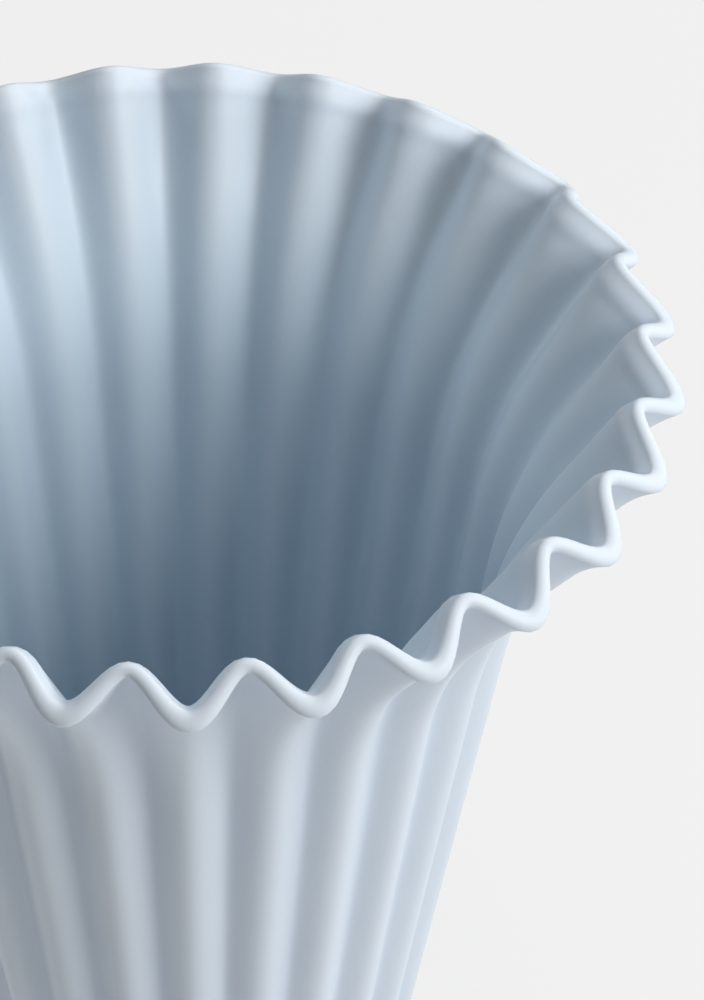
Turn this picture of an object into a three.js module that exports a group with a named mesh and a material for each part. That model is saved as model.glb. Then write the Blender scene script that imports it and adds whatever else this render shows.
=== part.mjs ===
// A pleated flower vase: a tapering ceramic wall, folded into soft pleats all round, that flares into a ruffled mouth
// with a round lip. The wall stands on a rebated floor, the floor on an unglazed foot ring, the ring on rubber pads.
// Millimetres, +Z up, origin on the table under the vase's axis, with one pleat's crest facing -Y.
import * as THREE from "three";

// The wall's middle line, as radii and heights: up from the foot to the knee, then out to the mouth.
const FOOT_RADIUS = 46.7;
const KNEE_RADIUS = 84.3;
const KNEE_HEIGHT = 223;
const KNEE_BEND_RADIUS = 118;
const MOUTH_RADIUS = 115.9;
const MOUTH_HEIGHT = 266.3;
const WALL_THICKNESS = 4;
const HEM_ROUND = 0.8;

// The pleats, with their depths measured from crest to valley across the wall's middle. As the wall widens they deepen
// slowly at first and fast near the mouth: by this power of the widening.
const PLEAT_COUNT = 26;
const PLEAT_DEPTH_AT_FOOT = 2.5;
const PLEAT_DEPTH_AT_MOUTH = 10.4;
const PLEAT_DEEPENING = 2;

// The lip: a half round, flush with the outside, and the shoulder over which the inside thins towards it.
const LIP_THICKNESS = 3.4;
const LIP_SHOULDER = 7;

// The wall's lower end: a plain bore for the floor's spigot, and the height over which the inner pleats fade into it.
const BORE_RADIUS = 41.8;
const PLEAT_FADE_HEIGHT = 36;

// The floor, whose spigot fills the bore and whose flange carries the wall's hem.
const FLANGE_THICKNESS = 2.5;
const FLANGE_INSET = 0.6;
const SPIGOT_HEIGHT = 4.5;
const FLOOR_DISH_DEPTH = 1;
const FLOOR_DISH_RADIUS = 20;
const LUTE_GAP = 0.3;

// The foot ring and the pads that are stuck under it.
const RING_HEIGHT = 4;
const RING_WIDTH = 9;
const RING_INSET = 2.5;
const RING_CHAMFER = 0.8;
const PAD_COUNT = 4;
const PAD_RADIUS = 3.6;
const PAD_THICKNESS = 1.5;
const PAD_CHAMFER = 0.4;

// How finely round stretches are stepped.
const STEPS_PER_PLEAT = 6;
const BEND_STEPS = 4;
const LIP_STEPS = 5;
const FADE_STEPS = 3;
const ROUND_STEPS = 72;
const PAD_STEPS = 24;

// Heights of the stack, from the table up.
const floorBottom = PAD_THICKNESS + RING_HEIGHT;
const wallBottom = floorBottom + FLANGE_THICKNESS;
const floorTop = wallBottom + SPIGOT_HEIGHT;

const glaze = new THREE.MeshStandardMaterial({ color: 0xbccbd8, roughness: 0.5, metalness: 0 });
const bareClay = new THREE.MeshStandardMaterial({ color: 0xd9d2c6, roughness: 0.9, metalness: 0 });
const padRubber = new THREE.MeshStandardMaterial({ color: 0xc9ccce, roughness: 0.8, metalness: 0 });

const mix = (from, to, share) => from + (to - from) * share;
const between = (from, to, steps) => Array.from({ length: steps + 1 }, (_, i) => mix(from, to, i / steps));

// The ways up along a wall that leans outward by an angle, and out of it.
const upAlong = (lean) => new THREE.Vector2(Math.sin(lean), Math.cos(lean));
const outOf = (lean) => new THREE.Vector2(Math.cos(lean), -Math.sin(lean));

const taper = Math.atan2(KNEE_RADIUS - FOOT_RADIUS, KNEE_HEIGHT - wallBottom);
const flare = Math.atan2(MOUTH_RADIUS - KNEE_RADIUS, MOUTH_HEIGHT - KNEE_HEIGHT);
const taperedRadius = (height) => FOOT_RADIUS + (height - wallBottom) * Math.tan(taper);
const mouth = new THREE.Vector2(MOUTH_RADIUS, MOUTH_HEIGHT);

// Half the wall's fold, from its middle to a crest, at a place on the middle line.
function foldAt(place) {
  const widening = (place.x - FOOT_RADIUS) / (MOUTH_RADIUS - FOOT_RADIUS);
  return mix(PLEAT_DEPTH_AT_FOOT, PLEAT_DEPTH_AT_MOUTH, widening ** PLEAT_DEEPENING) / 2;
}

// The rounded knee, as an arc of places on the middle line, each with the wall's lean there.
function kneeArc() {
  const legs = [KNEE_HEIGHT - wallBottom, MOUTH_HEIGHT - KNEE_HEIGHT];
  const halfTurn = Math.tan((flare - taper) / 2);
  const bend = Math.min(KNEE_BEND_RADIUS, (Math.min(...legs) - LIP_SHOULDER) / halfTurn);
  const centre = new THREE.Vector2(KNEE_RADIUS, KNEE_HEIGHT)
    .addScaledVector(upAlong(taper), -bend * halfTurn)
    .addScaledVector(outOf(taper), bend);
  return between(taper, flare, BEND_STEPS).map((lean) => ({
    place: centre.clone().addScaledVector(outOf(lean), -bend),
    lean,
  }));
}

// One ring of the wall's skin: its place on the middle line, how far its pleats swing each way, and how far the skin
// lies out of the middle (across) and above the place (rise).
const ring = (place, lean, fold, across, rise = 0) => ({ place, lean, fold, across, rise });
const half = WALL_THICKNESS / 2;

// The half-round lip, from its outer side, over the top, to its inner side.
function lipRings() {
  const radius = LIP_THICKNESS / 2;
  const centre = half - radius;
  const turns = between(0, Math.PI, LIP_STEPS);
  return turns.map((turn) =>
    ring(mouth, flare, foldAt(mouth), centre + radius * Math.cos(turn), radius * Math.sin(turn)),
  );
}

// The inner skin where its pleats fade, downward, into the plain bore.
function fadeRings() {
  const plain = (taperedRadius(floorTop) - BORE_RADIUS) * Math.cos(taper);
  const shares = between(1, 0, FADE_STEPS).slice(0, -1);
  return shares.map((share) => {
    const height = floorTop + PLEAT_FADE_HEIGHT * share;
    const place = new THREE.Vector2(taperedRadius(height), height);
    const eased = THREE.MathUtils.smoothstep(share, 0, 1);
    return ring(place, taper, foldAt(place) * eased, -mix(plain, half, eased));
  });
}

// The wall's closed section: hem first, up the outside, over the lip, down the inside and out to the hem again.
function wallRings() {
  const shoulder = mouth.clone().addScaledVector(upAlong(flare), -LIP_SHOULDER);
  const skin = [...kneeArc(), { place: shoulder, lean: flare }];
  const foot = new THREE.Vector2(FOOT_RADIUS, wallBottom);
  const aboveHem = new THREE.Vector2(taperedRadius(wallBottom + HEM_ROUND), wallBottom + HEM_ROUND);
  const rings = [
    ring(foot, 0, foldAt(foot), half - HEM_ROUND),
    ring(aboveHem, 0, foldAt(aboveHem), half),
    ...skin.map(({ place, lean }) => ring(place, lean, foldAt(place), half)),
    ...lipRings(),
    ...skin.reverse().map(({ place, lean }) => ring(place, lean, foldAt(place), -half)),
    ...fadeRings(),
    ring(new THREE.Vector2(BORE_RADIUS, floorTop), 0, 0, 0),
    ring(new THREE.Vector2(BORE_RADIUS, wallBottom), 0, 0, 0),
  ];
  return [...rings, rings[0]];
}

// Places a ring's skin at one turn round the axis. The middle swings along the wall's way out once per pleat, and the
// skin lies across from it, square to the folded middle, so the wall keeps its thickness on the pleats' flanks.
function foldedPoint({ place, lean, fold, across, rise }, turn) {
  const swing = fold * Math.cos(PLEAT_COUNT * turn);
  const slope = (-fold * PLEAT_COUNT * Math.sin(PLEAT_COUNT * turn)) / place.x;
  const flank = Math.atan(slope);
  const point = place
    .clone()
    .addScaledVector(outOf(lean), swing + across * Math.cos(flank))
    .addScaledVector(upAlong(lean), rise);
  const sideways = -across * Math.sin(flank);
  return new THREE.Vector3(
    point.x * Math.sin(turn) + sideways * Math.cos(turn),
    -point.x * Math.cos(turn) + sideways * Math.sin(turn),
    point.y,
  );
}

// Turns the rings round the axis, then moves every vertex to its folded place.
function pleatedSkin(rings) {
  const columns = PLEAT_COUNT * STEPS_PER_PLEAT;
  const skin = new THREE.LatheGeometry(rings.map(({ place }) => place), columns);
  const position = skin.getAttribute("position");
  for (let i = 0; i < position.count; i++) {
    const turn = ((Math.floor(i / rings.length) % columns) / columns) * 2 * Math.PI;
    const point = foldedPoint(rings[i % rings.length], turn);
    position.setXYZ(i, point.x, point.y, point.z);
  }
  return skin;
}

// A plain turned solid from its section, given as [radius, height] corners.
function turned(corners, steps) {
  const outline = [...corners, corners[0]].map(([radius, height]) => new THREE.Vector2(radius, height));
  return new THREE.LatheGeometry(outline, steps).rotateX(Math.PI / 2);
}

function named(name, geometry, material) {
  const mesh = new THREE.Mesh(geometry, material);
  mesh.name = name;
  return mesh;
}

// Radii of the stack under the wall, each inside the one above it.
const valleyRadius = FOOT_RADIUS - PLEAT_DEPTH_AT_FOOT / 2 + half;
const flangeRadius = valleyRadius - FLANGE_INSET;
const ringOuterRadius = flangeRadius - RING_INSET;
const ringInnerRadius = ringOuterRadius - RING_WIDTH;
const padCircleRadius = (ringOuterRadius + ringInnerRadius) / 2;

function pleatedWall() {
  return named("pleated_wall", pleatedSkin(wallRings()), glaze);
}

function floorDisc() {
  const spigotRadius = BORE_RADIUS - LUTE_GAP;
  const section = [
    [0, floorBottom],
    [flangeRadius, floorBottom],
    [flangeRadius, wallBottom],
    [spigotRadius, wallBottom],
    [spigotRadius, floorTop],
    [FLOOR_DISH_RADIUS, floorTop - FLOOR_DISH_DEPTH],
    [0, floorTop - FLOOR_DISH_DEPTH],
  ];
  return named("floor_disc", turned(section, ROUND_STEPS), glaze);
}

function footRing() {
  const section = [
    [ringInnerRadius, PAD_THICKNESS + RING_CHAMFER],
    [ringInnerRadius + RING_CHAMFER, PAD_THICKNESS],
    [ringOuterRadius - RING_CHAMFER, PAD_THICKNESS],
    [ringOuterRadius, PAD_THICKNESS + RING_CHAMFER],
    [ringOuterRadius, floorBottom],
    [ringInnerRadius, floorBottom],
  ];
  return named("foot_ring", turned(section, ROUND_STEPS), bareClay);
}

function footPad(index) {
  const section = [
    [0, 0],
    [PAD_RADIUS - PAD_CHAMFER, 0],
    [PAD_RADIUS, PAD_CHAMFER],
    [PAD_RADIUS, PAD_THICKNESS],
    [0, PAD_THICKNESS],
  ];
  const pad = named(`foot_pad_${index + 1}`, turned(section, PAD_STEPS), padRubber);
  const turn = ((index + 0.5) / PAD_COUNT) * 2 * Math.PI;
  pad.position.set(padCircleRadius * Math.cos(turn), padCircleRadius * Math.sin(turn), 0);
  return pad;
}

const vase = new THREE.Group();
vase.add(pleatedWall(), floorDisc(), footRing());
for (let index = 0; index < PAD_COUNT; index++) {
  vase.add(footPad(index));
}

export default vase;
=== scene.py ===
"""The finished look of a pleated ceramic flower vase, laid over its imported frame.

Four sub-assemblies dress the solids: the pleated wall with its ruffled lip, the glazed floor inside it,
the bare clay foot ring and the four rubber pads. Lengths are in metres, +Z is up and one pleat's crest
faces -Y.
"""

import logging
import math
from collections.abc import Iterator
from dataclasses import dataclass, field
from enum import Enum, IntEnum

import bmesh
import bpy
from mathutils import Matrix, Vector


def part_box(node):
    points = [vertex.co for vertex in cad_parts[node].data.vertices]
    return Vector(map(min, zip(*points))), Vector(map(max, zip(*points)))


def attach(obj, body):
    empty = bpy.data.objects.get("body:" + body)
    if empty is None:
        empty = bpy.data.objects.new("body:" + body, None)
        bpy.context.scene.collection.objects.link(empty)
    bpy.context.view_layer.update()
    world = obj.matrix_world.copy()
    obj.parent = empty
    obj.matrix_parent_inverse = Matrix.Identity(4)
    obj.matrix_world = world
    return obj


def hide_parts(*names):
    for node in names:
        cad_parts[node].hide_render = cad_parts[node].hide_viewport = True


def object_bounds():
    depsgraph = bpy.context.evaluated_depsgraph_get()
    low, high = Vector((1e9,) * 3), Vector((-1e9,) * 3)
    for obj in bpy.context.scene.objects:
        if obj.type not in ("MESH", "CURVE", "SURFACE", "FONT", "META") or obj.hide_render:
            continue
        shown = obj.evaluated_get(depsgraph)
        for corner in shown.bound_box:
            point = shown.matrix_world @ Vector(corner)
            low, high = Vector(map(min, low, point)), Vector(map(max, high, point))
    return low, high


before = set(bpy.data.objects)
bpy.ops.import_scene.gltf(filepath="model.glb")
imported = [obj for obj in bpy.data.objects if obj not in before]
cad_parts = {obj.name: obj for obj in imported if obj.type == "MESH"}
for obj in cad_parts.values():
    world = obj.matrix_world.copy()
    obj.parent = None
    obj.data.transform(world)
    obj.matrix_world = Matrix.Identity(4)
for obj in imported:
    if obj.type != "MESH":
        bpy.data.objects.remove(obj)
CAD_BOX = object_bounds()
MM = 0.001
BODY = "root"
MERGE_DISTANCE = 0.001 * MM

Colour = tuple[float, float, float]
Triple = tuple[float, float, float]
Range = tuple[float, float]
FULL_RANGE: Range = (0.0, 1.0)

logging.basicConfig(level=logging.INFO, format="%(message)s")
log = logging.getLogger("vase")


class Slot(Enum):
    """The record's material slots."""

    GLAZE = "glaze"
    BARE_CLAY = "bare_clay"
    PAD_RUBBER = "pad_rubber"


class GlazeLayer(Enum):
    """The values that the glaze reads from a piece's own vertices: thin glaze with a painted highlight on the
    lip, pooled glaze with painted shade in the grooves, and the depth inside for painted shade.
    """

    THIN = "glaze_thin"
    POOLED_AND_SHADE = "glaze_pooled"
    DEPTH = "glaze_depth"


class MixSocket(IntEnum):
    """The places of the mix node's colour sockets."""

    SHARE = 0
    RESULT = 2
    UNDER = 6
    OVER = 7


class Rounded(Enum):
    """What a bevel rounds: the corners of a flat section, or the edges of a solid."""

    CORNERS = "VERTICES"
    EDGES = "EDGES"


def ease(value: float) -> float:
    """Rises smoothly from 0 to 1 as the value goes from 0 to 1, and stays level outside."""
    held = min(max(value, 0.0), 1.0)
    return held * held * (3.0 - 2.0 * held)


def blend(low: float, high: float, share: float) -> float:
    """Goes from low to high as the share goes from 0 to 1."""
    return low + (high - low) * share


def nearness(distance: float, reach: float) -> float:
    """Rises evenly from 0, where the distance is the reach or more, to 1 where there is none."""
    return max(0.0, 1 - distance / reach)


class Shader:
    """A material's node tree, with short names for the nodes that the finishes use."""

    def __init__(self, name: str) -> None:
        """Starts a material with one surface shader.

        Args:
            name: The material's name.
        """
        self.material = bpy.data.materials.new(name)
        self.material.use_nodes = True
        self.tree = self.material.node_tree
        self.surface = self.tree.nodes["Principled BSDF"]
        self.place = self.tree.nodes.new("ShaderNodeTexCoord").outputs["Object"]

    def link(self, source: bpy.types.NodeSocket, target: bpy.types.NodeSocket) -> None:
        """Joins one node's output to another's input."""
        self.tree.links.new(source, target)

    def noise(self, size: float, detail: float = 3.0, roughness: float = 0.5) -> bpy.types.NodeSocket:
        """Adds a noise pattern.

        Args:
            size: The width of the pattern's patches, in metres.
            detail: How many finer layers lie over it.
            roughness: How strong the finer layers are.

        Returns:
            The pattern's value, from 0 to 1.
        """
        node = self.tree.nodes.new("ShaderNodeTexNoise")
        node.inputs["Scale"].default_value = 1.0 / size
        node.inputs["Detail"].default_value = detail
        node.inputs["Roughness"].default_value = roughness
        self.link(self.place, node.inputs["Vector"])
        return node.outputs["Fac"]

    def specks(self, spacing: float, radius: float) -> bpy.types.NodeSocket:
        """Adds small round spots at uneven places.

        Args:
            spacing: About how far apart the spots are, in metres.
            radius: How far a spot reaches, in metres.

        Returns:
            1 inside a spot and 0 outside, with a soft edge.
        """
        node = self.tree.nodes.new("ShaderNodeTexVoronoi")
        node.inputs["Scale"].default_value = 1.0 / spacing
        self.link(self.place, node.inputs["Vector"])
        return self.spread(node.outputs["Distance"], (0.0, radius / spacing), (1.0, 0.0))

    def spread(
        self, value: bpy.types.NodeSocket, given: Range, wanted: Range = FULL_RANGE
    ) -> bpy.types.NodeSocket:
        """Maps one range of values to another, and holds it at its ends.

        Args:
            value: The value to map.
            given: The range that comes in.
            wanted: The range that goes out.

        Returns:
            The mapped value.
        """
        node = self.tree.nodes.new("ShaderNodeMapRange")
        node.inputs["From Min"].default_value, node.inputs["From Max"].default_value = given
        node.inputs["To Min"].default_value, node.inputs["To Max"].default_value = wanted
        self.link(value, node.inputs["Value"])
        return node.outputs["Result"]

    def layer(self, layer: GlazeLayer) -> bpy.types.NodeSocket:
        """Reads a value that the piece's vertices carry.

        Args:
            layer: The layer to read.

        Returns:
            The layer's value on the surface.
        """
        node = self.tree.nodes.new("ShaderNodeAttribute")
        node.attribute_name = layer.value
        return node.outputs["Fac"]

    def tint(
        self, share: bpy.types.NodeSocket, under: bpy.types.NodeSocket | Colour, over: Colour
    ) -> bpy.types.NodeSocket:
        """Lays a colour over another.

        Args:
            share: How much of the upper colour shows, from 0 to 1.
            under: The lower colour, or the output that gives it.
            over: The upper colour.

        Returns:
            The mixed colour.
        """
        node = self.tree.nodes.new("ShaderNodeMix")
        node.data_type = "RGBA"
        self.link(share, node.inputs[MixSocket.SHARE])
        if isinstance(under, tuple):
            node.inputs[MixSocket.UNDER].default_value = (*under, 1.0)
        else:
            self.link(under, node.inputs[MixSocket.UNDER])
        node.inputs[MixSocket.OVER].default_value = (*over, 1.0)
        return node.outputs[MixSocket.RESULT]

    def relief(
        self, height: bpy.types.NodeSocket, depth: float, under: bpy.types.NodeSocket | None = None
    ) -> bpy.types.NodeSocket:
        """Turns a pattern into fine relief.

        Args:
            height: The pattern, from 0 to 1.
            depth: How far the pattern stands out, in metres.
            under: Coarser relief that this one lies on.

        Returns:
            The surface's turned normal.
        """
        node = self.tree.nodes.new("ShaderNodeBump")
        node.inputs["Distance"].default_value = depth
        self.link(height, node.inputs["Height"])
        if under is not None:
            self.link(under, node.inputs["Normal"])
        return node.outputs["Normal"]


@dataclass(frozen=True)
class GlazeFinish:
    """A pale blue satin glaze: even, lighter where it runs thin on the ridges with a painted highlight on the
    lip, deeper where it pools in the grooves with painted shade there, and painted shade darker and bluer
    deeper inside.
    """

    name: str = "pale blue satin glaze"
    colour: Colour = (0.578, 0.655, 0.742)
    drifted: Colour = (0.565, 0.643, 0.732)
    # Lighter glaze where it runs thin on the ridges; on the lip it is also a painted highlight.
    thin_and_highlight: Colour = (0.640, 0.705, 0.772)
    # Deeper glaze where it pools in the grooves, and painted shade there as well.
    pooled_and_shaded: Colour = (0.470, 0.560, 0.675)
    # Painted shade inside: a little bluer below the lip, then darker and bluer further down.
    inner: Colour = (0.562, 0.655, 0.742)
    deep_shade: Colour = (0.418, 0.545, 0.648)
    speck: Colour = (0.120, 0.110, 0.100)
    drift_size: float = 60.0 * MM
    drift_range: Range = (0.35, 0.65)
    # Depths where the painted shade inside comes in.
    inner_shade_range: Range = (0.0, 0.06)
    deep_shade_range: Range = (0.06, 0.7)
    speck_spacing: float = 34.0 * MM
    speck_radius: float = 0.45 * MM
    roughness: Range = (0.42, 0.52)
    gloss_range: Range = (0.3, 0.7)
    mirror_level: float = 0.3
    peel_size: float = 2.2 * MM
    peel_depth: float = 0.012 * MM
    sag_size: float = 22.0 * MM
    sag_depth: float = 0.10 * MM

    def material(self) -> bpy.types.Material:
        """Builds the glaze's material."""
        shader = Shader(self.name)
        drift = shader.spread(shader.noise(self.drift_size, detail=4.0), self.drift_range)
        colour = shader.tint(drift, self.colour, self.drifted)
        # Glaze pooling in the grooves, with painted shade in them.
        colour = shader.tint(shader.layer(GlazeLayer.POOLED_AND_SHADE), colour, self.pooled_and_shaded)
        # Painted shade inside the vase: bluer below the lip, darker and bluer further down.
        depth = shader.layer(GlazeLayer.DEPTH)
        colour = shader.tint(shader.spread(depth, self.inner_shade_range), colour, self.inner)
        colour = shader.tint(shader.spread(depth, self.deep_shade_range), colour, self.deep_shade)
        # Glaze thinning on the ridges, and a painted highlight on the lip.
        colour = shader.tint(shader.layer(GlazeLayer.THIN), colour, self.thin_and_highlight)
        colour = shader.tint(shader.specks(self.speck_spacing, self.speck_radius), colour, self.speck)
        shader.link(colour, shader.surface.inputs["Base Color"])
        gloss = shader.spread(shader.noise(self.sag_size, detail=2.0), self.gloss_range, self.roughness)
        shader.link(gloss, shader.surface.inputs["Roughness"])
        shader.surface.inputs["Specular IOR Level"].default_value = self.mirror_level
        sag = shader.relief(shader.noise(self.sag_size, detail=1.0), self.sag_depth)
        peel = shader.relief(shader.noise(self.peel_size, detail=2.0), self.peel_depth, sag)
        shader.link(peel, shader.surface.inputs["Normal"])
        return shader.material


@dataclass(frozen=True)
class BareClayFinish:
    """Fired clay without glaze: dry, fine-grained and a little speckled."""

    name: str = "bare fired clay"
    colour: Colour = (0.66, 0.61, 0.54)
    stained: Colour = (0.56, 0.51, 0.45)
    grog: Colour = (0.38, 0.32, 0.26)
    stain_size: float = 14.0 * MM
    stain_range: Range = (0.35, 0.7)
    grog_spacing: float = 2.6 * MM
    grog_radius: float = 0.28 * MM
    roughness: Range = (0.78, 0.92)
    grain_size: float = 0.7 * MM
    grain_range: Range = (0.3, 0.7)
    grain_depth: float = 0.05 * MM

    def material(self) -> bpy.types.Material:
        """Builds the clay's material."""
        shader = Shader(self.name)
        stain = shader.spread(shader.noise(self.stain_size, detail=5.0, roughness=0.6), self.stain_range)
        colour = shader.tint(stain, self.colour, self.stained)
        colour = shader.tint(shader.specks(self.grog_spacing, self.grog_radius), colour, self.grog)
        shader.link(colour, shader.surface.inputs["Base Color"])
        grain = shader.noise(self.grain_size, detail=4.0, roughness=0.65)
        gloss = shader.spread(grain, self.grain_range, self.roughness)
        shader.link(gloss, shader.surface.inputs["Roughness"])
        shader.link(shader.relief(grain, self.grain_depth), shader.surface.inputs["Normal"])
        return shader.material


@dataclass(frozen=True)
class PadRubberFinish:
    """Soft grey moulded rubber with a matt, slightly dusty skin."""

    name: str = "soft grey rubber"
    colour: Colour = (0.43, 0.45, 0.47)
    dusty: Colour = (0.53, 0.54, 0.55)
    dust_size: float = 3.0 * MM
    dust_range: Range = (0.4, 0.7)
    roughness: Range = (0.62, 0.78)
    gloss_range: Range = (0.3, 0.7)
    skin_size: float = 0.35 * MM
    skin_depth: float = 0.02 * MM

    def material(self) -> bpy.types.Material:
        """Builds the rubber's material."""
        shader = Shader(self.name)
        dust = shader.noise(self.dust_size, detail=5.0, roughness=0.6)
        colour = shader.tint(shader.spread(dust, self.dust_range), self.colour, self.dusty)
        shader.link(colour, shader.surface.inputs["Base Color"])
        gloss = shader.spread(dust, self.gloss_range, self.roughness)
        shader.link(gloss, shader.surface.inputs["Roughness"])
        skin = shader.relief(shader.noise(self.skin_size), self.skin_depth)
        shader.link(skin, shader.surface.inputs["Normal"])
        return shader.material


@dataclass(frozen=True)
class StudioFloorFinish:
    """A pale studio floor, lit from within so that it stays even around the vase."""

    name: str = "pale studio floor"
    colour: Colour = (0.12, 0.12, 0.12)
    worn: Colour = (0.11, 0.11, 0.11)
    glow: Colour = (1.0, 1.0, 1.0)
    glow_strength: float = 0.755
    wear_size: float = 0.4

    def material(self) -> bpy.types.Material:
        """Builds the floor's material."""
        shader = Shader(self.name)
        wear = shader.noise(self.wear_size, detail=4.0)
        shader.link(shader.tint(wear, self.colour, self.worn), shader.surface.inputs["Base Color"])
        shader.surface.inputs["Roughness"].default_value = 1.0
        shader.surface.inputs["Specular IOR Level"].default_value = 0.0
        shader.surface.inputs["Emission Color"].default_value = (*self.glow, 1.0)
        shader.surface.inputs["Emission Strength"].default_value = self.glow_strength
        return shader.material


def new_object(bm: bmesh.types.BMesh, name: str, material: bpy.types.Material) -> bpy.types.Object:
    """Turns a finished bmesh into an object of the scene and frees the bmesh.

    Args:
        bm: The shape, in the frame's coordinates.
        name: The object's name.
        material: The material of all its faces.

    Returns:
        The new object, at the origin.
    """
    bmesh.ops.recalc_face_normals(bm, faces=bm.faces)
    for face in bm.faces:
        face.smooth = True
    mesh = bpy.data.meshes.new(name)
    bm.to_mesh(mesh)
    bm.free()
    mesh.materials.append(material)
    made = bpy.data.objects.new(name, mesh)
    bpy.context.scene.collection.objects.link(made)
    return made


def dress(piece: bpy.types.Object, slot: Slot, *nodes: str) -> None:
    """Sets a piece on the vase in place of its solids.

    Args:
        piece: The finished piece.
        slot: The record's slot for its finish; not used.
        *nodes: The solids that it stands for.
    """
    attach(piece, BODY)
    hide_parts(*nodes)
    log.info("%s stands for %s, %d faces", piece.name, ", ".join(nodes), len(piece.data.polygons))


def drawn(
    bm: bmesh.types.BMesh, corners: list[tuple[float, float]], closed: bool = True
) -> list[bmesh.types.BMVert]:
    """Draws a section on the front half of the plane x = 0.

    Args:
        bm: The empty bmesh to draw in.
        corners: The section's radii and heights, in order.
        closed: Whether the last corner joins the first.

    Returns:
        The section's vertices, in order.
    """
    points = [bm.verts.new((0.0, -radius, height)) for radius, height in corners]
    following = points[1:] + points[:1] if closed else points[1:]
    for first, second in zip(points, following):
        bm.edges.new((first, second))
    return points


def round_off(
    bm: bmesh.types.BMesh,
    geometry: list[bmesh.types.BMVert] | list[bmesh.types.BMEdge],
    rounded: Rounded,
    size: float,
    steps: int,
) -> None:
    """Rounds corners or edges.

    Args:
        bm: The bmesh that holds them.
        geometry: The corners or the edges.
        rounded: Which of the two they are.
        size: How far the round reaches.
        steps: How many steps the round has.
    """
    bmesh.ops.bevel(
        bm,
        geom=geometry,
        offset=size,
        offset_type="OFFSET",
        segments=steps,
        profile=0.5,
        affect=rounded.value,
        material=-1,
        clamp_overlap=True,
    )


def spun(bm: bmesh.types.BMesh, steps: int) -> None:
    """Turns the bmesh's outline once round the vase's axis.

    Args:
        bm: The bmesh that holds only the outline.
        steps: How many steps the turn has.
    """
    outline = [*bm.verts, *bm.edges]
    bmesh.ops.spin(
        bm,
        geom=outline,
        cent=(0, 0, 0),
        axis=(0, 0, 1),
        angle=math.tau,
        steps=steps,
        use_merge=True,
    )
    bmesh.ops.remove_doubles(bm, verts=bm.verts, dist=MERGE_DISTANCE)


@dataclass(frozen=True)
class MiddleLine:
    """The line halfway through the unfolded wall: a taper, a bend, and a flare that turns out at its end."""

    foot_radius: float = 46.7 * MM
    foot_height: float = 8.0 * MM
    knee_radius: float = 84.8 * MM
    knee_height: float = 223.0 * MM
    mouth_radius: float = 115.3 * MM
    mouth_height: float = 266.6 * MM
    bend_radius: float = 118.0 * MM
    lip_lean: float = math.radians(10.0)
    lip_bend: float = 12.0 * MM

    @property
    def taper_lean(self) -> float:
        """The taper's angle from upright."""
        return math.atan2(self.knee_radius - self.foot_radius, self.knee_height - self.foot_height)

    @property
    def flare_lean(self) -> float:
        """The flare's angle from upright."""
        return math.atan2(self.mouth_radius - self.knee_radius, self.mouth_height - self.knee_height)

    @property
    def bend_reach(self) -> float:
        """How far the bend reaches along each straight from the knee."""
        return self.bend_radius * math.tan((self.flare_lean - self.taper_lean) / 2)

    @property
    def taper_length(self) -> float:
        """The straight part of the taper."""
        full = math.hypot(self.knee_radius - self.foot_radius, self.knee_height - self.foot_height)
        return full - self.bend_reach

    @property
    def bend_length(self) -> float:
        """The length of the bend."""
        return self.bend_radius * (self.flare_lean - self.taper_lean)

    @property
    def flare_length(self) -> float:
        """The straight part of the flare."""
        full = math.hypot(self.mouth_radius - self.knee_radius, self.mouth_height - self.knee_height)
        return full - self.bend_reach

    @property
    def length(self) -> float:
        """The whole line's length, from the hem to the mouth."""
        return self.taper_length + self.bend_length + self.flare_length

    def at(self, along: float) -> Triple:
        """Finds a place on the line.

        Args:
            along: The distance from the hem.

        Returns:
            The radius, the height and the angle from upright there.
        """
        if along <= self.taper_length:
            lean = self.taper_lean
            return self.foot_radius + along * math.sin(lean), self.foot_height + along * math.cos(lean), lean
        if along >= self.length - self.flare_length:
            lean, left = self.flare_lean, self.length - along
            bent = nearness(left, self.lip_bend)
            turned = self.lip_lean * self.lip_bend * bent**2 / 2
            radius = self.mouth_radius - left * math.sin(lean) + turned * math.cos(lean)
            height = self.mouth_height - left * math.cos(lean) - turned * math.sin(lean)
            return radius, height, lean + self.lip_lean * bent
        radius, height, lean = self.at(self.taper_length)
        turned = lean + (along - self.taper_length) / self.bend_radius
        radius += self.bend_radius * (math.cos(lean) - math.cos(turned))
        height += self.bend_radius * (math.sin(turned) - math.sin(lean))
        return radius, height, turned


@dataclass(frozen=True)
class SkinRow:
    """One row of the wall's skin, all round the vase.

    Attributes:
        along: The row's distance from the hem along the middle line.
        across: How far the row lies out of the middle of the wall, or into it where it is negative.
        rise: How far the row stands above its place on the middle line, along the wall.
        swell: How much of the lip's swelling on the crests the row takes.
        inside: Whether the row is on the inside of the vase.
    """

    along: float
    across: float
    rise: float = 0.0
    swell: float = 0.0
    inside: bool = False


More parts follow.
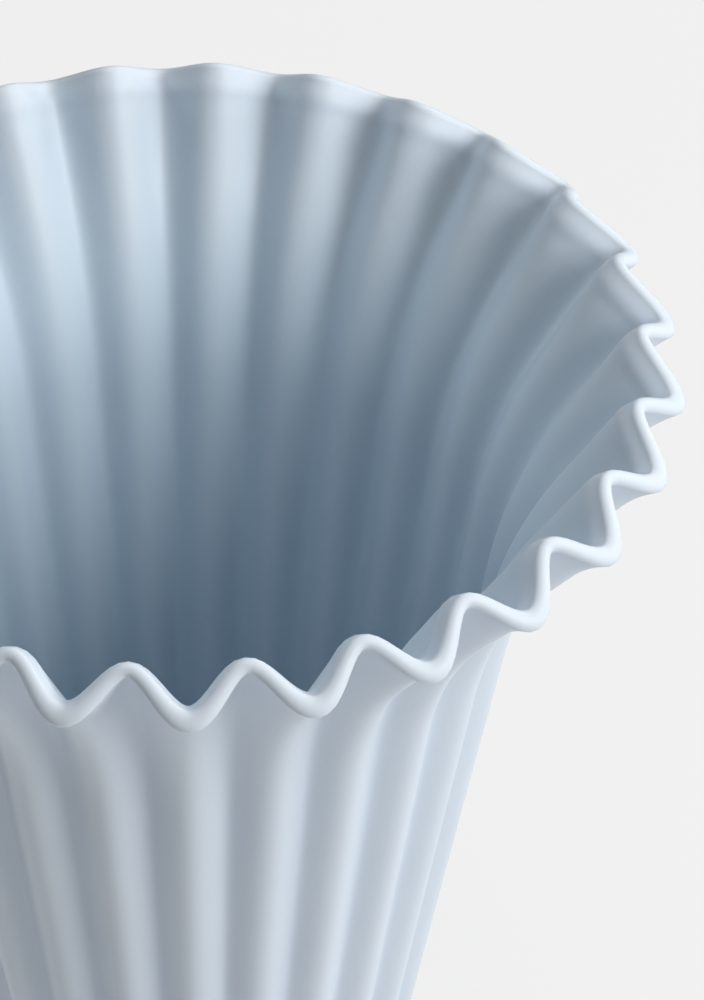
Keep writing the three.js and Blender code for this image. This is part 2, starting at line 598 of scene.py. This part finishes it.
@dataclass
class PleatedWall:
    """The cast wall: soft upright pleats that deepen towards a flared mouth with a round, ruffled lip."""

    line: MiddleLine = field(default_factory=MiddleLine)
    finish: GlazeFinish = field(default_factory=GlazeFinish)
    pleats: int = 26
    pleat_at_foot: float = 2.5 * MM
    pleat_at_mouth: float = 10.6 * MM
    deepening: float = 2.4
    outer_gain: float = 0.25
    wall_half: float = 2.0 * MM
    lip_round: float = 1.8 * MM
    lip_swell: float = 1.8 * MM
    swell_run: float = 14.0 * MM
    lip_run: float = 8.0 * MM
    lip_zone: float = 14.0 * MM
    roll_depth: float = 0.45 * MM
    roll_run: float = 8.0 * MM
    lip_crowding: float = 1.7
    hem_round: float = 0.8 * MM
    hem_settling: float = 4.8 * MM
    bore_radius: float = 41.8 * MM
    bore_top: float = 12.5 * MM
    fade_height: float = 36.0 * MM
    # Lighter glaze: thinning on the ridges, and a painted highlight on the lip.
    thin_on_ridge: float = 0.25
    ridge_sharpness: int = 3
    highlight_and_thin_on_lip: float = 0.45
    # Glaze pooling in the hollows, and painted shade in them.
    pooled_and_shade_outside: float = 0.35
    pooled_and_shade_inside: float = 0.2
    pool_and_shade_sharpness: int = 4
    steps_per_pleat: int = 18
    taper_rows: int = 24
    bend_rows: int = 15
    flare_rows: int = 5
    lip_rows: int = 18
    bead_rows: int = 18
    hem_rows: int = 4

    def places(self) -> Iterator[float]:
        """Gives the rows' distances along the middle line, closer together towards the lip."""
        line, lip_start = self.line, self.line.length - self.lip_zone
        bend_start, flare_start = line.taper_length, line.taper_length + line.bend_length
        stretches = (
            (self.hem_round, bend_start, self.taper_rows),
            (bend_start, flare_start, self.bend_rows),
            (flare_start, lip_start, self.flare_rows),
        )
        for low, high, count in stretches:
            for k in range(count):
                yield blend(low, high, k / count)
        for k in range(self.lip_rows):
            yield line.length - self.lip_zone * (1 - k / self.lip_rows) ** self.lip_crowding

    def rows(self) -> Iterator[SkinRow]:
        """Gives the rows round the wall's section: up the outside, over the lip, down the inside, home."""
        length, places = self.line.length, list(self.places())
        lip_centre = self.wall_half - self.lip_round
        for along in places:
            yield SkinRow(along, self.wall_half, swell=nearness(length - along, self.swell_run) ** 2)
        for k in range(self.bead_rows + 1):
            angle = math.pi * k / self.bead_rows
            across, rise = lip_centre + self.lip_round * math.cos(angle), self.lip_round * math.sin(angle)
            yield SkinRow(length, across, rise, (1 + math.cos(angle)) / 2, across < 0)
        for along in reversed(places):
            below = length - along
            thinned = nearness(below, self.lip_run) ** 2
            roll = self.roll_depth * math.sin(math.pi * min(below / self.roll_run, 1.0)) ** 2
            across = blend(-self.wall_half, lip_centre - self.lip_round, thinned) - roll
            yield SkinRow(along, across, inside=True)
        for k in range(1, self.hem_rows):
            across = blend(-self.wall_half, self.wall_half, k / self.hem_rows)
            yield SkinRow(0.0, across, inside=across < 0)

    def folded(self, row: SkinRow, turn: float) -> Vector:
        """Finds a point of the folded wall.

        Args:
            row: The row that the point is on.
            turn: The angle round the axis from the front.

        Returns:
            The point, in the frame's coordinates.
        """
        radius, height, lean = self.line.at(row.along)
        wave, swing = math.cos(self.pleats * turn), math.sin(self.pleats * turn)
        widening = (radius - self.line.foot_radius) / (self.line.mouth_radius - self.line.foot_radius)
        half_pleat = blend(self.pleat_at_foot, self.pleat_at_mouth, widening**self.deepening) / 2
        slant = math.atan(-half_pleat * self.pleats * swing / (radius + half_pleat * wave * math.cos(lean)))
        gain = 1 + self.outer_gain * (1 - widening) * row.across / self.wall_half
        swollen = row.swell * self.lip_swell * (1 + wave) / 2
        push = half_pleat * gain * wave + row.across * math.cos(slant) + swollen
        slide = -row.across * math.sin(slant)
        out = radius + push * math.cos(lean) + row.rise * math.sin(lean)
        up = height - push * math.sin(lean) + row.rise * math.cos(lean)
        if row.inside:
            kept = ease((height - self.bore_top) / self.fade_height)
            out, slide = blend(self.bore_radius, out, kept), slide * kept
        settled = ease(row.along / self.hem_settling)
        up = blend(self.line.foot_height + row.along, up, settled)
        return Vector(
            (
                out * math.sin(turn) + slide * math.cos(turn),
                -out * math.cos(turn) + slide * math.sin(turn),
                up,
            )
        )

    def glaze_values(self, row: SkinRow, turn: float) -> dict[GlazeLayer, float]:
        """Says how the glaze lies at a point of the wall, with the painted highlight on the lip and the
        painted shade in the hollows and deep inside.

        Args:
            row: The row that the point is on.
            turn: The angle round the axis from the front.

        Returns:
            A value from 0 to 1 for each glaze layer.
        """
        below = self.line.length - row.along
        crest = (1 + math.cos(self.pleats * turn)) / 2
        on_lip = 1 - ease(below / self.lip_round) if row.inside else float(below == 0)
        hollow = crest if row.inside else 1 - crest
        # Glaze pooling in the hollows, partly painted shade.
        pooled_and_shaded = self.pooled_and_shade_inside if row.inside else self.pooled_and_shade_outside
        # Glaze thinning on the ridges; on the lip a painted highlight lies over it.
        thin_and_highlight = self.thin_on_ridge * (1 - hollow) ** self.ridge_sharpness
        return {
            GlazeLayer.THIN: blend(thin_and_highlight, self.highlight_and_thin_on_lip, on_lip),
            GlazeLayer.POOLED_AND_SHADE: pooled_and_shaded * hollow**self.pool_and_shade_sharpness * (1 - on_lip),
            # The depth inside drives the painted shade, darker and bluer further down.
            GlazeLayer.DEPTH: below / self.line.length if row.inside else 0.0,
        }

    def build(self) -> bpy.types.Object:
        """Spins the unfolded section, folds it into pleats and dresses it.

        Returns:
            The finished wall.
        """
        rows = list(self.rows())
        bm = bmesh.new()
        number = bm.verts.layers.int.new("row")
        layers = {layer: bm.verts.layers.float.new(layer.value) for layer in GlazeLayer}
        section = []
        for row in rows:
            radius, height, _ = self.line.at(row.along)
            section.append((radius + row.across, height + row.rise))
        for index, point in enumerate(drawn(bm, section)):
            point[number] = index
        spun(bm, self.pleats * self.steps_per_pleat)
        for point in bm.verts:
            row, turn = rows[point[number]], math.atan2(point.co.x, -point.co.y)
            point.co = self.folded(row, turn)
            for layer, value in self.glaze_values(row, turn).items():
                point[layers[layer]] = value
        bm.verts.layers.int.remove(number)
        wall = new_object(bm, "ruffled_wall", self.finish.material())
        dress(wall, Slot.GLAZE, "pleated_wall")
        return wall


@dataclass
class GlazedFloor:
    """The floor inside the wall: a shallow dish with a soft glaze fillet, on a flange that closes the hem."""

    finish: GlazeFinish = field(default_factory=GlazeFinish)
    spigot_radius: float = 41.5 * MM
    flange_thickness: float = 2.5 * MM
    dish_radius: float = 20.0 * MM
    dish_depth: float = 1.0 * MM
    dish_edge: float = 4.0 * MM
    margin_drop: float = 0.25 * MM
    corner_round: float = 0.6 * MM
    fillet: float = 2.4 * MM
    steps: int = 144
    round_steps: int = 5

    def build(self) -> bpy.types.Object:
        """Spins the floor's section, rounds its corners and dresses it.

        Returns:
            The finished floor.
        """
        low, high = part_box("floor_disc")
        bottom, top, flange = low.z, high.z, high.x
        shoulder = bottom + self.flange_thickness
        bm = bmesh.new()
        corners = [
            (0.0, top - self.dish_depth),
            (self.dish_radius, top - self.dish_depth),
            (self.dish_radius + self.dish_edge, top - self.margin_drop),
            (self.spigot_radius - self.fillet, top - self.margin_drop),
            (self.spigot_radius, top),
            (self.spigot_radius, shoulder),
            (flange, shoulder),
            (flange, bottom),
            (0.0, bottom),
        ]
        outline = drawn(bm, corners, closed=False)
        round_off(bm, outline[1:-1], Rounded.CORNERS, self.corner_round, self.round_steps)
        spun(bm, self.steps)
        # Painted shade: the whole floor takes the darkest, bluest inside colour.
        depth = bm.verts.layers.float.new(GlazeLayer.DEPTH.value)
        for point in bm.verts:
            point[depth] = 1.0
        floor = new_object(bm, "glazed_floor", self.finish.material())
        dress(floor, Slot.GLAZE, "floor_disc")
        return floor


@dataclass
class FootRing:
    """The turned foot: a ring of bare clay with soft edges."""

    finish: BareClayFinish = field(default_factory=BareClayFinish)
    width: float = 9.0 * MM
    edge_round: float = 0.9 * MM
    steps: int = 144
    round_steps: int = 4

    def build(self) -> bpy.types.Object:
        """Spins the ring's section, rounds its edges and dresses it.

        Returns:
            The finished ring.
        """
        low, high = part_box("foot_ring")
        outer, inner = high.x, high.x - self.width
        bm = bmesh.new()
        corners = [(inner, low.z), (outer, low.z), (outer, high.z), (inner, high.z)]
        round_off(bm, drawn(bm, corners), Rounded.CORNERS, self.edge_round, self.round_steps)
        spun(bm, self.steps)
        ring = new_object(bm, "clay_foot_ring", self.finish.material())
        dress(ring, Slot.BARE_CLAY, "foot_ring")
        return ring


@dataclass
class RubberPads:
    """Four small round pads under the foot ring."""

    finish: PadRubberFinish = field(default_factory=PadRubberFinish)
    count: int = 4
    edge_round: float = 0.4 * MM
    steps: int = 48
    round_steps: int = 4

    def build(self) -> list[bpy.types.Object]:
        """Makes a rounded disc on each pad's place and dresses it.

        Returns:
            The finished pads.
        """
        material = self.finish.material()
        pads = []
        for number in range(1, self.count + 1):
            node = f"foot_pad_{number}"
            low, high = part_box(node)
            bm = bmesh.new()
            radius = (high.x - low.x) / 2
            made = bmesh.ops.create_cone(
                bm,
                cap_ends=True,
                segments=self.steps,
                radius1=radius,
                radius2=radius,
                depth=high.z - low.z,
            )
            bmesh.ops.translate(bm, verts=made["verts"], vec=(low + high) / 2)
            rims = [rim for rim in bm.edges if abs(rim.verts[0].co.z - rim.verts[1].co.z) < MERGE_DISTANCE]
            round_off(bm, rims, Rounded.EDGES, self.edge_round, self.round_steps)
            pad = new_object(bm, f"rubber_pad_{number}", material)
            dress(pad, Slot.PAD_RUBBER, node)
            pads.append(pad)
        return pads


@dataclass(frozen=True)
class SoftLight:
    """A square studio lamp that looks at the vase's mouth.

    Attributes:
        name: The lamp's name.
        azimuth: The angle round the vase from the right of the picture, in degrees.
        elevation: The angle above the floor, in degrees.
        power: The lamp's power in watts.
        size: The lamp's width.
        distance: How far away the lamp is.
        colour: The lamp's colour.
    """

    name: str
    azimuth: float
    elevation: float
    power: float
    size: float = 0.9
    distance: float = 2.0
    colour: Colour = (1.0, 1.0, 1.0)

    def build(self, target: Vector) -> bpy.types.Object:
        """Sets the lamp up.

        Args:
            target: The point that it looks at.

        Returns:
            The lamp.
        """
        lamp = bpy.data.lights.new(self.name, "AREA")
        lamp.size, lamp.energy, lamp.color = self.size, self.power, self.colour
        across, up = math.radians(self.azimuth), math.radians(self.elevation)
        towards = Vector((math.cos(up) * math.cos(across), math.cos(up) * math.sin(across), math.sin(up)))
        made = bpy.data.objects.new(self.name, lamp)
        made.location = target + towards * self.distance
        made.rotation_euler = (-towards).to_track_quat("-Z", "Y").to_euler()
        made.visible_camera = False
        bpy.context.scene.collection.objects.link(made)
        return made


@dataclass
class Studio:
    """The pale floor, the soft lamps and the camera at the photograph's angle."""

    floor_finish: StudioFloorFinish = field(default_factory=StudioFloorFinish)
    floor_half: float = 1.5
    backdrop: Colour = (0.871, 0.871, 0.871)
    ambient: float = 0.03
    camera_place: Triple = (-0.0107, -1.1205, 1.2010)
    camera_turn: Triple = (48.8505, 0.1000, -2.8175)
    lens: float = 218.33
    sensor: float = 36.0
    lamps: tuple[SoftLight, ...] = (
        SoftLight("key lamp", -32.5, 28.0, power=30.8, size=1.1, colour=(1.0, 0.975, 0.945)),
        SoftLight("right lamp", 15.0, 20.0, power=7.7),
        SoftLight("high lamp", -10.0, 46.0, power=7.5),
        SoftLight("top lamp", 0.0, 90.0, power=13.0),
        SoftLight("back lamp", 60.0, 25.0, power=10.0, size=1.0, colour=(1.0, 0.98, 0.955)),
        SoftLight("left lamp", 152.0, 26.0, power=8.0, size=1.0, colour=(0.90, 0.965, 1.0)),
    )

    def build(self) -> None:
        """Lays the floor, sets the lamps up and places the camera."""
        self.lay_floor()
        mouth = Vector((0.0, 0.0, CAD_BOX[1].z))
        for lamp in self.lamps:
            lamp.build(mouth)
        self.paint_world()
        self.place_camera()
        log.info("studio with %d lamps", len(self.lamps))

    def lay_floor(self) -> None:
        """Lays the floor under the pads."""
        bm = bmesh.new()
        bmesh.ops.create_grid(bm, x_segments=1, y_segments=1, size=self.floor_half)
        new_object(bm, "studio_floor", self.floor_finish.material())

    def paint_world(self) -> None:
        """Surrounds the scene with an even pale backdrop."""
        scene = bpy.context.scene
        scene.world = bpy.data.worlds.new("studio backdrop")
        scene.world.use_nodes = True
        tree = scene.world.node_tree
        back, path = tree.nodes["Background"], tree.nodes.new("ShaderNodeLightPath")
        seen = tree.nodes.new("ShaderNodeMapRange")
        seen.inputs["To Min"].default_value = self.ambient
        tree.links.new(path.outputs["Is Camera Ray"], seen.inputs["Value"])
        tree.links.new(seen.outputs["Result"], back.inputs["Strength"])
        back.inputs["Color"].default_value = (*self.backdrop, 1.0)
        scene.view_settings.view_transform = "Standard"

    def place_camera(self) -> None:
        """Places the camera where the photograph was taken."""
        lens = bpy.data.cameras.new("camera")
        lens.lens, lens.sensor_width = self.lens, self.sensor
        made = bpy.data.objects.new("camera", lens)
        made.location = self.camera_place
        made.rotation_euler = [math.radians(angle) for angle in self.camera_turn]
        bpy.context.scene.collection.objects.link(made)
        bpy.context.scene.camera = made


def main() -> None:
    """Builds the vase piece by piece, then the studio round it."""
    PleatedWall().build()
    GlazedFloor().build()
    FootRing().build()
    RubberPads().build()
    Studio().build()


if __name__ == "__main__":
    main()
